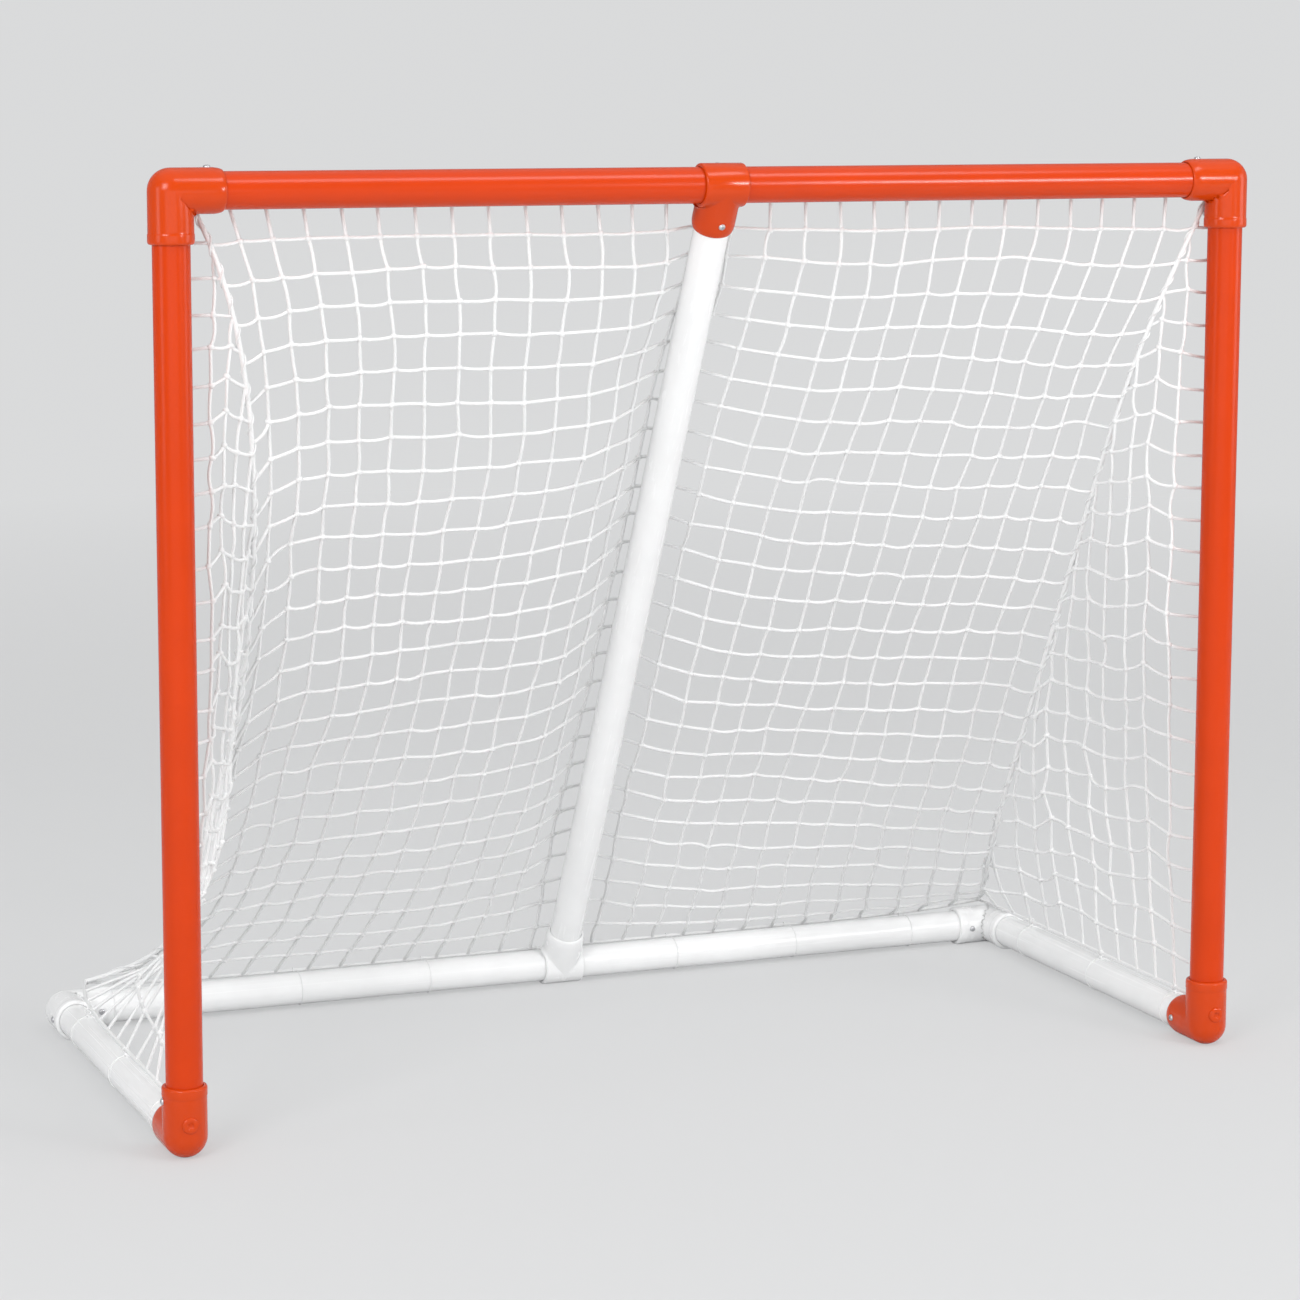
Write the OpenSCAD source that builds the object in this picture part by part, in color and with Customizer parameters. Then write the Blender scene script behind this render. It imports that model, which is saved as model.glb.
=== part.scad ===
// Street hockey goal: a push-fit frame of plastic tubes with a laced square-mesh net.
// X runs along the crossbar, +Y points to the back of the goal and +Z up. The frame stands on Z = 0.

/* [Frame] */
// Distance between the two post axes
goal_width = 1320; // [900:10:1800]
// Height of the crossbar axis above the floor
goal_height = 1083; // [800:1:1300]
// Distance from the post axes back to the rear bar axis
goal_depth = 590; // [450:5:800]
// Place of the crossbar tee, from the middle of the goal
crossbar_tee_x = -10; // [-30:1:30]
// Place of the rear tee, from the middle of the goal
rear_tee_x = 12; // [-30:1:30]

/* [Tubes] */
// Outer diameter of every tube
tube_od = 42.2; // [38:0.1:50]
// Wall of every tube
tube_wall = 3.2; // [2:0.1:4]

/* [Fittings] */
// Wall of a socket
socket_wall = 4.25; // [4.05:0.05:6]
// Clearance between a tube and its socket, on the radius
socket_gap = 0.15; // [0.1:0.05:0.4]
// Distance from a corner's centre to a socket's mouth
socket_reach = 58; // [54:1:70]
// Distance from a corner's centre to the stop for the tube's end
tube_stop = 28; // [26:0.5:32]
// Length of a tee's sleeve along the bar
sleeve_length = 54; // [48:1:70]
// Chamfer round a socket's mouth
mouth_chamfer = 2; // [0.5:0.1:3]
// Depth of the flat moulded under each base fitting
foot_flat = 0.5; // [0.2:0.1:0.7]
// Diameter of the round boss on the front of a bottom elbow
boss_d = 19; // [12:0.5:24]
// Height of the boss
boss_h = 2; // [1:0.1:3]
// Height of the boss's centre above the base tube axis
boss_z = 17; // [14:1:20]
// Diameter of the dimple in the boss
dimple_d = 9; // [5:0.5:11]

/* [Screws] */
// Diameter of a screw's shank
screw_d = 3.5; // [3:0.1:4]
// Diameter of a screw's head
head_d = 8; // [7:0.1:9]
// Height of a screw's head
head_h = 3; // [2:0.1:4]
// Distance from a corner's centre to a socket's screw
screw_place = 41; // [38:0.5:44]
// Clearance round a screw in its hole, on the radius
screw_gap = 0.1; // [0.05:0.05:0.3]
// How far a screw reaches inside its tube
screw_tip = 4; // [2:0.5:8]

/* [Net] */
// Thickness of the net's cord
cord_d = 4; // [3:0.5:5]
// Gaps across the back net
back_gaps = 15; // [9:2:15]
// Rows of gaps down the net
net_rows = 12; // [8:2:12]
// Clearance between the net and the fittings it passes
net_gap = 1.5; // [1.2:0.1:4]
// How far the back net hangs in between its corners and the centre support
net_sag = 90; // [0:5:110]
// How much further its corners hang in, at most
corner_sag = 130; // [0:5:150]
// How far the corners draw in sideways at mid height
corner_draw = 128; // [0:4:160]
// Diameter of the cord laced down each rear corner
lacing_d = 6; // [5:0.5:8]

/* [Hooks and ties] */
// Thickness of a hook's or tie's eye
eye_d = 2.4; // [2:0.1:3]
// Thickness of a tie's loop round its bar
tie_d = 3.4; // [3:0.1:3.6]
// Diameter of a hook's stem
stem_d = 4; // [3:0.1:5]
// Clearance between a loop or a stem and what it holds
tie_gap = 0.3; // [0.2:0.05:0.4]

/* [Hidden] */

ORANGE = [0.91, 0.31, 0.16];
WHITE = [0.95, 0.95, 0.94];
STEEL = [0.62, 0.62, 0.64];
CORD = [0.98, 0.98, 0.97];
$fn = 64;
cut = 1; // how far a cutter runs past the face it opens

tube_r = tube_od / 2;
tube_ir = tube_r - tube_wall;
socket_ir = tube_r + socket_gap;
fitting_r = socket_ir + socket_wall;
base_z = fitting_r - foot_flat;
half_w = goal_width / 2;

// The net stands this far from the axis of the frame it passes behind or over.
standoff = fitting_r + cord_d / 2 + net_gap;
top_tilt = 10; // angle of the net's top edge above the crossbar's back
rear_tilt = 39; // angle of the net's rear edge above the rear bar's back
rear_edge = standoff * [0, cos(rear_tilt), sin(rear_tilt)];

// An eye clears the corners of the square cord that runs through it.
cord_reach = cord_d / 2 * sqrt(2);
eye_r = cord_reach + tie_gap + eye_d / 2;
loop_r = tube_r + tie_gap + tie_d / 2;

// The box round the goal has its middle on the origin.
front_reach = fitting_r + boss_h;
rear_reach = max(fitting_r, rear_edge.y + eye_r + eye_d / 2);
front_y = -(goal_depth + rear_reach - front_reach) / 2;
rear_y = front_y + goal_depth;

top_left = [-half_w, front_y, goal_height];
top_right = [half_w, front_y, goal_height];
bottom_left = [-half_w, front_y, base_z];
bottom_right = [half_w, front_y, base_z];
rear_left = [-half_w, rear_y, base_z];
rear_right = [half_w, rear_y, base_z];
tee_top = [crossbar_tee_x, front_y, goal_height];
tee_rear = [rear_tee_x, rear_y, base_z];

LEFT = [-1, 0, 0];
RIGHT = [1, 0, 0];
FRONT = [0, -1, 0];
BACK = [0, 1, 0];
UP = [0, 0, 1];
DOWN = [0, 0, -1];

function unit(v) = v / norm(v);
support_dir = unit(tee_rear - tee_top);
support_front = unit(cross(RIGHT, support_dir));
support_side = cross(support_dir, support_front);

// Each joint: the tube, its fitting, the fitting's centre, the way the socket points, the side that
// the screw is on, and the screw's distance along the socket.
JOINTS = [
    ["crossbar", "top_left_elbow", top_left, RIGHT, UP, screw_place],
    ["left_post", "top_left_elbow", top_left, DOWN, unit(BACK + RIGHT), screw_place],
    ["crossbar", "top_right_elbow", top_right, LEFT, UP, screw_place],
    ["right_post", "top_right_elbow", top_right, DOWN, unit(BACK + LEFT), screw_place],
    ["left_post", "bottom_left_elbow", bottom_left, UP, LEFT, screw_place],
    ["left_base_tube", "bottom_left_elbow", bottom_left, BACK, RIGHT, screw_place],
    ["right_post", "bottom_right_elbow", bottom_right, UP, RIGHT, screw_place],
    ["right_base_tube", "bottom_right_elbow", bottom_right, BACK, LEFT, screw_place],
    ["left_base_tube", "rear_left_elbow", rear_left, FRONT, LEFT, screw_place],
    ["rear_bar", "rear_left_elbow", rear_left, RIGHT, FRONT, screw_place],
    ["right_base_tube", "rear_right_elbow", rear_right, FRONT, RIGHT, screw_place],
    ["rear_bar", "rear_right_elbow", rear_right, LEFT, FRONT, screw_place],
    ["centre_support", "crossbar_tee", tee_top, support_dir, -support_front, screw_place],
    ["centre_support", "rear_tee", tee_rear, -support_dir, support_side, screw_place],
    ["crossbar", "crossbar_tee", tee_top, RIGHT, unit(UP + BACK / 2), 0],
    ["rear_bar", "rear_tee", tee_rear, RIGHT, unit(UP + FRONT), 0]
];

// Turns +Z to point along v.
module aim(v)
    rotate([0, acos(v.z / norm(v)), atan2(v.y, v.x)]) children();

// ---------------------------------------------------------------- tubes and fittings

module at_screw(joint)
    translate(joint[2] + joint[3] * joint[5]) aim(joint[4]) children();

// The hole and the flat seat that each screw needs in one piece.
module screw_holes(piece)
    for (joint = JOINTS)
        if (joint[0] == piece || joint[1] == piece)
            at_screw(joint) {
                translate([0, 0, tube_ir / 2])
                    cylinder(r = screw_d / 2 + screw_gap, h = fitting_r);
                translate([0, 0, fitting_r - foot_flat])
                    cylinder(d = head_d + 1, h = head_h);
            }

module tube(name, start, end) {
    length = norm(end - start);
    difference() {
        translate(start) aim(end - start)
            difference() {
                cylinder(r = tube_r, h = length);
                translate([0, 0, -cut]) cylinder(r = tube_ir, h = length + 2 * cut);
            }
        screw_holes(name);
        hook_holes(name);
    }
}

// A tube that stops in the socket at each end.
module socketed_tube(name, from, to) {
    along = unit(to - from);
    tube(name, from + along * tube_stop, to - along * tube_stop);
}

module socket_outside()
    rotate_extrude()
        polygon([
            [0, 0], [fitting_r, 0], [fitting_r, socket_reach - mouth_chamfer],
            [fitting_r - mouth_chamfer, socket_reach], [0, socket_reach]
        ]);

module socket_inside() {
    translate([0, 0, tube_stop])
        cylinder(r = socket_ir, h = socket_reach - tube_stop + cut);
    cylinder(r = tube_ir, h = tube_stop + cut);
}

// Everything under the floor line, which leaves the flats that the frame stands on.
module below_floor()
    translate([-goal_width, -goal_depth * 2, -fitting_r])
        cube([goal_width * 2, goal_depth * 4, fitting_r]);

module elbow(name, centre, way_a, way_b)
    difference() {
        translate(centre) difference() {
            union() {
                sphere(r = fitting_r);
                aim(way_a) socket_outside();
                aim(way_b) socket_outside();
            }
            sphere(r = tube_ir);
            aim(way_a) socket_inside();
            aim(way_b) socket_inside();
        }
        below_floor();
        screw_holes(name);
    }

// The bottom elbows have a round boss with a dimple on the front.
module bottom_elbow(name, centre) {
    dimple_r = dimple_d / 2;
    difference() {
        union() {
            elbow(name, centre, UP, BACK);
            translate(centre + [0, -socket_ir - socket_wall / 2, boss_z]) aim(FRONT)
                rotate_extrude()
                    polygon([
                        [0, 0], [boss_d / 2, 0], [boss_d / 2, socket_wall / 2 + boss_h / 2],
                        [boss_d / 2 - boss_h / 2, socket_wall / 2 + boss_h],
                        [0, socket_wall / 2 + boss_h]
                    ]);
        }
        translate(centre + [0, -front_reach - dimple_r / 2, boss_z]) sphere(r = dimple_r);
    }
}

// A tee: a sleeve that the bar runs through, with one blind socket.
module tee(name, centre, way)
    difference() {
        translate(centre) difference() {
            union() {
                aim(RIGHT) translate([0, 0, -sleeve_length / 2])
                    rotate_extrude()
                        polygon([
                            [0, 0], [fitting_r - mouth_chamfer, 0], [fitting_r, mouth_chamfer],
                            [fitting_r, sleeve_length - mouth_chamfer],
                            [fitting_r - mouth_chamfer, sleeve_length], [0, sleeve_length]
                        ]);
                aim(way) socket_outside();
            }
            aim(RIGHT) translate([0, 0, -sleeve_length / 2 - cut])
                cylinder(r = socket_ir, h = sleeve_length + 2 * cut);
            aim(way) translate([0, 0, tube_stop])
                cylinder(r = socket_ir, h = socket_reach - tube_stop + cut);
        }
        below_floor();
        screw_holes(name);
    }

// A pan-head tapping screw, its head's underside on Z = 0.
module screw() {
    grip = fitting_r - foot_flat - tube_ir;
    slot = head_d * 0.6;
    rotate_extrude()
        polygon([
            [0, -grip - screw_tip], [screw_d / 2, -grip - screw_tip / 2], [screw_d / 2, 0],
            [0, 0]
        ]);
    difference() {
        intersection() {
            cylinder(d = head_d, h = head_h);
            translate([0, 0, head_h - head_d * 0.75]) sphere(r = head_d * 0.75);
        }
        for (turn = [0, 90])
            rotate(turn)
                translate([-slot / 2, -slot / 12, head_h / 2]) cube([slot, slot / 6, head_h]);
    }
}

module left_post() color(ORANGE) socketed_tube("left_post", bottom_left, top_left);
module right_post() color(ORANGE) socketed_tube("right_post", bottom_right, top_right);
module crossbar() color(ORANGE) socketed_tube("crossbar", top_left, top_right);
module left_base_tube() color(WHITE) socketed_tube("left_base_tube", bottom_left, rear_left);
module right_base_tube() color(WHITE) socketed_tube("right_base_tube", bottom_right, rear_right);
module rear_bar() color(WHITE) socketed_tube("rear_bar", rear_left, rear_right);
module centre_support() color(WHITE) socketed_tube("centre_support", tee_top, tee_rear);

module top_left_elbow() color(ORANGE) elbow("top_left_elbow", top_left, RIGHT, DOWN);
module top_right_elbow() color(ORANGE) elbow("top_right_elbow", top_right, LEFT, DOWN);
module bottom_left_elbow() color(ORANGE) bottom_elbow("bottom_left_elbow", bottom_left);
module bottom_right_elbow() color(ORANGE) bottom_elbow("bottom_right_elbow", bottom_right);
module rear_left_elbow() color(WHITE) elbow("rear_left_elbow", rear_left, RIGHT, FRONT);
module rear_right_elbow() color(WHITE) elbow("rear_right_elbow", rear_right, LEFT, FRONT);
module crossbar_tee() color(ORANGE) tee("crossbar_tee", tee_top, support_dir);
module rear_tee() color(WHITE) tee("rear_tee", tee_rear, -support_dir);

module socket_screws()
    color(STEEL)
        for (joint = JOINTS)
            at_screw(joint) translate([0, 0, fitting_r - foot_flat]) screw();

// ---------------------------------------------------------------- net

net_front_y = front_y + standoff;
net_top_z = goal_height + standoff * sin(top_tilt);
side_bottom_z = base_z + standoff;
back_bottom_z = base_z + rear_edge.z;
side_gaps = net_rows / 2;

// Along each row, t runs from 0 at the crossbar to 1 at the base. A loose net falls straight down from
// the crossbar before it runs back, and its corners hang in furthest, above the middle of the side.
function corner_x(t) = half_w - corner_draw * (1 - pow(abs(2 * t - 1), 2.6));
function hang(t) = (1 - pow(1 - t, 9)) * (1 - pow(t, 6));
function corner_hang(t) = 1.35 * pow(t, 1.3) * (1 - pow(t, 5));

// A point of the back net, where w runs from -1 at the left corner to 1 at the right one. The centre
// support keeps its middle back.
function back_point(w, t) = [
    w * corner_x(t),
    net_front_y + t * (goal_depth + rear_edge.y - standoff)
        - net_sag * hang(t) * (1 - pow(1 - w * w, 8))
        - corner_sag * corner_hang(t) * pow(abs(w), 12),
    net_top_z + t * (back_bottom_z + (side_bottom_z - back_bottom_z) * pow(w, 8) - net_top_z)
];

// A side net's front edge, behind the post. side is -1 on the left and 1 on the right.
function post_point(side, t) = [side * half_w, net_front_y, back_point(side, t).z];

// A point on a side net's row, which ends just short of the corner. k counts its uprights back from
// the post.
function side_at(side, k, row) = let (
    post = post_point(side, row / net_rows),
    corner = back_point(side, row / net_rows),
    end = corner + (2 * cord_reach + tie_gap) * unit(post - corner)
) post + (end - post) * 2 * k / row;

back_rows = [
    for (row = [0:net_rows])
        [for (k = [0:back_gaps]) back_point(2 * k / back_gaps - 1, row / net_rows)]
];

// A side row has a point at each upright and, on odd rows, one more at the corner.
function side_row(side, row) = [
    for (k = [0:floor(row / 2)]) side_at(side, k, row),
    if (row % 2 == 1) side_at(side, row / 2, row)
];

// Directions along the row, across it and out of the net at one point of a list of rows.
function row_way(rows, j, i) =
    unit(rows[j][min(i + 1, len(rows[j]) - 1)] - rows[j][max(i - 1, 0)]);
function fall_way(rows, j, i) = let (
    above = rows[max(j - 1, 0)],
    below = rows[min(j + 1, len(rows) - 1)]
) unit(below[min(i, len(below) - 1)] - above[min(i, len(above) - 1)]);
function node_frame(rows, j, i) = let (
    u = row_way(rows, j, i),
    n = unit(cross(u, fall_way(rows, j, i)))
) [u, cross(n, u), n];

function two_triangles(a, b, c, d) = [[a, b, c], [a, c, d]];

// A net of square cords: a block where two cords cross, and bars between the blocks. uprights[j] is how
// many points of row j carry an upright down to row j + 1.
module cord_net(rows, uprights) {
    firsts = [for (j = 0, n = 0; j < len(rows); n = n + len(rows[j]), j = j + 1) n];
    points = [
        for (j = [0:len(rows) - 1], i = [0:len(rows[j]) - 1])
            let (axes = node_frame(rows, j, i))
                for (n = [-1, 1], u = [-1, 1], v = [-1, 1])
                    rows[j][i] + cord_d / 2 * (u * axes[0] + v * axes[1] + n * axes[2])
    ];
    function corner_of(j, i, u, v, n) = 8 * (firsts[j] + i) + 4 * n + 2 * u + v;
    faces = [
        for (j = [0:len(rows) - 1], i = [0:len(rows[j]) - 1]) let (
            last = i == len(rows[j]) - 1,
            falls = i < uprights[j],
            hangs = j > 0 && i < uprights[j - 1],
            block = [for (n = [0, 1], u = [0, 1], v = [0, 1]) corner_of(j, i, u, v, n)]
        ) each concat(
            two_triangles(block[4], block[5], block[7], block[6]),
            two_triangles(block[0], block[2], block[3], block[1]),
            i > 0 ? [] : two_triangles(block[0], block[1], block[5], block[4]),
            hangs ? [] : two_triangles(block[2], block[0], block[4], block[6]),
            last
                ? two_triangles(block[3], block[2], block[6], block[7])
                : bar(block[2], block[3], block[6], block[7],
                      [for (n = [0, 1], v = [0, 1]) corner_of(j, i + 1, 0, v, n)]),
            falls
                ? bar(block[3], block[1], block[7], block[5],
                      [for (n = [0, 1], u = [1, 0]) corner_of(j + 1, i, u, 0, n)])
                : two_triangles(block[1], block[3], block[7], block[5])
        )
    ];
    polyhedron(points, faces);
}

// The four sides of a bar from one block's side a, b (low) and c, d (high) to the next block's far side.
function bar(a, b, c, d, far) = concat(
    two_triangles(c, d, far[3], far[2]),
    two_triangles(b, a, far[0], far[1]),
    two_triangles(a, c, far[2], far[0]),
    two_triangles(d, b, far[1], far[3])
);

module back_net()
    color(CORD) cord_net(back_rows, [for (row = [0:net_rows]) row < net_rows ? back_gaps + 1 : 0]);

module side_net(side) {
    rows = [for (row = [1:net_rows]) side_row(side, row)];
    color(CORD)
        cord_net(rows, [for (row = [1:net_rows]) row < net_rows ? floor(row / 2) + 1 : 0]);
}

module left_side_net() side_net(-1);
module right_side_net() side_net(1);

// ---------------------------------------------------------------- corner lacing

lacing_sides = 8;

// The level direction out of the goal at a corner, square to the way that the net runs past it.
function corner_out(side, t) = let (
    corner = back_point(side, t),
    inner = back_point(side * (1 - 2 / back_gaps), t),
    past = unit(post_point(side, t) - corner) - unit(inner - corner)
) side * unit([-past.y, past.x, 0]);

// The lacing runs outside the corner, against the back net's edge. row may be halfway between two rows.
function lacing_point(side, row) =
    (back_point(side, floor(row) / net_rows) + back_point(side, ceil(row) / net_rows)) / 2
    + (cord_reach + 2 * tie_gap + lacing_d / 2) * corner_out(side, ceil(row) / net_rows);

module corner_lacing(side) {
    path = [
        for (row = [0.5, each [1:net_rows - 1], net_rows - 0.5]) lacing_point(side, row)
    ];
    points = [
        for (k = [0:len(path) - 1])
            let (
                along = unit(path[min(k + 1, len(path) - 1)] - path[max(k - 1, 0)]),
                a = unit(cross(along, RIGHT)),
                b = cross(along, a)
            )
                for (turn = [0:lacing_sides - 1])
                    let (angle = 360 * turn / lacing_sides)
                        path[k] + lacing_d / 2 * (cos(angle) * a + sin(angle) * b)
    ];
    last = len(points) - lacing_sides;
    faces = [
        for (k = [0:len(path) - 2], turn = [0:lacing_sides - 1])
            let (a = k * lacing_sides + turn, b = k * lacing_sides + (turn + 1) % lacing_sides)
                each two_triangles(a, a + lacing_sides, b + lacing_sides, b),
        [for (turn = [0:lacing_sides - 1]) turn],
        [for (turn = [lacing_sides - 1:-1:0]) last + turn]
    ];
    color(CORD) polyhedron(points, faces);
}

module left_corner_lacing() corner_lacing(-1);
module right_corner_lacing() corner_lacing(1);

// ---------------------------------------------------------------- hooks and ties

gap_w = goal_width / back_gaps;
bar_places = [
    for (k = [1:2:back_gaps - 2]) if (abs(2 * k + 1 - back_gaps) > 1) (k + 0.5) * gap_w - half_w
];
post_places = [
    for (row = [1:2:net_rows - 1])
        net_top_z + (row + 0.5) / net_rows * (side_bottom_z - net_top_z)
];
base_places = [for (k = [0:2:side_gaps - 2]) side_at(1, k + 0.5, net_rows).y];
top_edge = [0, cos(top_tilt), sin(top_tilt)];

module ring(major, thickness)
    rotate_extrude() translate([major, 0]) circle(d = thickness, $fn = 24);

// An eye round the net's edge cord. The cord runs along Z, and the frame's axis is at -X.
module eye()
    translate([standoff, 0, 0]) ring(eye_r, eye_d);

// A hook: the stem is held in the tube's wall and carries the eye.
module hook() {
    eye();
    translate([tube_ir - screw_tip / 2, 0, 0]) rotate([0, 90, 0])
        cylinder(d = stem_d, h = standoff - eye_r - tube_ir + screw_tip / 2);
}

// A tie: a loop of cord round the bar and an eye round the net's edge cord.
module tie() {
    eye();
    ring(loop_r, tie_d);
}

// Puts a hook or tie on a frame piece: a point on its axis, the way it runs, and the way to the net.
module on_frame(point, along, out) {
    across = cross(along, out);
    multmatrix([
        [out.x, across.x, along.x, point.x],
        [out.y, across.y, along.y, point.y],
        [out.z, across.z, along.z, point.z],
        [0, 0, 0, 1]
    ]) children();
}

module on_crossbar()
    for (x = bar_places) on_frame([x, front_y, goal_height], RIGHT, top_edge) children();
module on_post(side)
    for (z = post_places) on_frame([side * half_w, front_y, z], UP, BACK) children();

module hook_holes(name) {
    if (name == "crossbar") on_crossbar() hook_hole();
    if (name == "left_post") on_post(-1) hook_hole();
    if (name == "right_post") on_post(1) hook_hole();
}

module hook_hole()
    translate([tube_ir / 2, 0, 0]) rotate([0, 90, 0])
        cylinder(d = stem_d + 2 * screw_gap, h = tube_r);

module crossbar_hooks() color(ORANGE) on_crossbar() hook();
module left_post_hooks() color(ORANGE) on_post(-1) hook();
module right_post_hooks() color(ORANGE) on_post(1) hook();

module rear_bar_ties()
    color(CORD)
        for (x = bar_places) on_frame([x, rear_y, base_z], RIGHT, unit(rear_edge)) tie();

module base_ties(side)
    color(CORD)
        for (y = base_places) on_frame([side * half_w, y, base_z], BACK, UP) tie();

module left_base_ties() base_ties(-1);
module right_base_ties() base_ties(1);

left_post();
right_post();
crossbar();
left_base_tube();
right_base_tube();
rear_bar();
centre_support();
top_left_elbow();
top_right_elbow();
bottom_left_elbow();
bottom_right_elbow();
rear_left_elbow();
rear_right_elbow();
crossbar_tee();
rear_tee();
socket_screws();
back_net();
left_side_net();
right_side_net();
left_corner_lacing();
right_corner_lacing();
crossbar_hooks();
left_post_hooks();
right_post_hooks();
rear_bar_ties();
left_base_ties();
right_base_ties();
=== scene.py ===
import math

import bmesh
import bpy
import numpy as np
from bpy.props import FloatProperty, FloatVectorProperty, IntProperty, PointerProperty
from mathutils import Matrix, Vector


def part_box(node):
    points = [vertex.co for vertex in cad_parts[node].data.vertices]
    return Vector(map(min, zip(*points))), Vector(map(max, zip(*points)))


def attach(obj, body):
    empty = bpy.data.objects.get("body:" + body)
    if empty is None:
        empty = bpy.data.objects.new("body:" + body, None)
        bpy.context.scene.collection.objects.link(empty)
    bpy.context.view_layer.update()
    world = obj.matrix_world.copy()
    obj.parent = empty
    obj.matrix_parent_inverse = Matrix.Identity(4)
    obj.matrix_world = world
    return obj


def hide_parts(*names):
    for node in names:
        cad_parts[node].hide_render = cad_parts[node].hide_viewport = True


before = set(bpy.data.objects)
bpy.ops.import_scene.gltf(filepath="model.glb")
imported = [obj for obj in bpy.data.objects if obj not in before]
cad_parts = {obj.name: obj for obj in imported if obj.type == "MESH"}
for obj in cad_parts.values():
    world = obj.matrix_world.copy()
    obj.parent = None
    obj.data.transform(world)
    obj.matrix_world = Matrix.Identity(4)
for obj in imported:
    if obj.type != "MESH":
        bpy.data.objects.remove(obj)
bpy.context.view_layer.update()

bl_info = {
    "name": "Hockey Goal",
    "version": (1, 0, 0),
    "blender": (4, 5, 0),
    "location": "View3D > Sidebar > Goal",
    "description": "Builds the fittings, screws, nets and studio of a street hockey goal",
    "category": "Add Mesh",
}

ROOT = "root"
UP = Vector((0, 0, 1))
DOWN = Vector((0, 0, -1))
LEFT = Vector((-1, 0, 0))
RIGHT = Vector((1, 0, 0))
FRONT = Vector((0, -1, 0))
BACK = Vector((0, 1, 0))


def middle(node):
    low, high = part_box(node)
    return (low + high) / 2


def across(node, axis):
    low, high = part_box(node)
    return (high - low)[axis]


# ---------------------------------------------------------------- places that the frame gives

TUBE_R = across("crossbar", 2) / 2
HALF_W = middle("right_post").x
POST_Y = middle("right_post").y
BAR_Z = middle("crossbar").z
REAR_Y = middle("rear_bar").y
BASE_Z = middle("rear_bar").z
TEE_TOP = Vector((middle("crossbar_tee").x, POST_Y, BAR_Z))
TEE_REAR = Vector((middle("rear_tee").x, REAR_Y, BASE_Z))
SUPPORT_WAY = (TEE_REAR - TEE_TOP).normalized()
SUPPORT_FRONT = SUPPORT_WAY.cross(RIGHT).normalized()
SUPPORT_SIDE = SUPPORT_FRONT.cross(SUPPORT_WAY)
SIDES = ((-1, "left"), (1, "right"))
MM = 0.001
# The radii of a fitting and of its bore, and how far the nets' edges are from a tube's axis.
FITTING_R = TUBE_R + 4.4 * MM
BORE_R = TUBE_R + 0.15 * MM
STANDOFF = FITTING_R + 3.5 * MM
# How far a socket's mouth and its screw are from the fitting's centre.
SOCKET_REACH = 58 * MM
SCREW_PLACE = 41 * MM
# The angle from which a fitting's edges are sharp.
FITTING_EDGE = math.radians(35)

CORNERS = {
    "top_left": Vector((-HALF_W, POST_Y, BAR_Z)),
    "top_right": Vector((HALF_W, POST_Y, BAR_Z)),
    "bottom_left": Vector((-HALF_W, POST_Y, BASE_Z)),
    "bottom_right": Vector((HALF_W, POST_Y, BASE_Z)),
    "rear_left": Vector((-HALF_W, REAR_Y, BASE_Z)),
    "rear_right": Vector((HALF_W, REAR_Y, BASE_Z)),
}


# ---------------------------------------------------------------- values a user would change

def colour_prop(name, description, *default):
    return FloatVectorProperty(name=name, description=description, default=default,
                               subtype="COLOR", size=3, min=0, max=1)


def length_prop(name, description, default, low, high):
    """A length, given in mm."""
    return FloatProperty(name=name, description=description, default=default * MM, min=low * MM,
                         max=high * MM, subtype="DISTANCE", unit="LENGTH")


def count_prop(name, description, default, low, high):
    return IntProperty(name=name, description=description, default=default, min=low, max=high)


class GoalFinishes(bpy.types.PropertyGroup):
    orange_tube: colour_prop("Orange tube", "Colour of the posts and crossbar", 0.6, 0.044, 0.001)
    orange_fitting: colour_prop(
        "Orange fitting", "Colour of the orange elbows and the crossbar tee", 0.6, 0.05, 0.001)
    white_plastic: colour_prop(
        "White plastic", "Colour of the white tubes and fittings", 0.905, 0.91, 0.91)
    net_cord: colour_prop("Net cord", "Colour of the net and its lacing", 0.86, 0.865, 0.865)
    steel: colour_prop("Screw steel", "Colour of the zinc-plated screws", 0.62, 0.62, 0.63)


class GoalFittingSizes(bpy.types.PropertyGroup):
    crotch: length_prop("Crotch fillet", "Radius of the fillet inside an elbow", 3.5, 1, 6)
    lip: length_prop("Lip", "Height of the band round a socket's mouth", 0.5, 0, 1)
    sleeve: length_prop("Tee sleeve", "Length of a tee's sleeve along its bar", 54, 48, 70)
    sides: count_prop("Sides", "Facets round a fitting", 64, 16, 96)


class GoalNetSizes(bpy.types.PropertyGroup):
    cord: length_prop("Cord", "Thickness of the net's cord", 4.3, 1, 6)
    hem: length_prop("Hem cord", "Thickness of the cord along the net's edges", 4.8, 2, 6)
    mesh: length_prop("Mesh", "Length of cord from one knot to the next", 43.5, 30, 60)
    rows: count_prop("Rows", "Rows of meshes down the back net", 28, 8, 40)
    columns: count_prop("Columns", "Columns of meshes across the back net", 29, 8, 40)
    side_rows: count_prop("Side rows", "Rows of meshes down a side net", 25, 8, 36)
    side_columns: count_prop("Side columns", "Columns of meshes across a side net", 12, 6, 20)
    sag: length_prop("Sag", "How far the back net hangs in from its straight line", 67.4, 0, 120)
    left_sag: length_prop(
        "Left corner sag", "Scale of how much further the left corner hangs in", 249, 0, 300)
    right_sag: length_prop(
        "Right corner sag", "Scale of how much further the right corner hangs in", 105.6, 0, 300)
    left_draw: length_prop(
        "Left corner draw", "How far the left corner draws in sideways", 98.9, 0, 160)
    right_draw: length_prop(
        "Right corner draw", "How far the right corner draws in sideways", 100.2, 0, 160)


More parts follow.
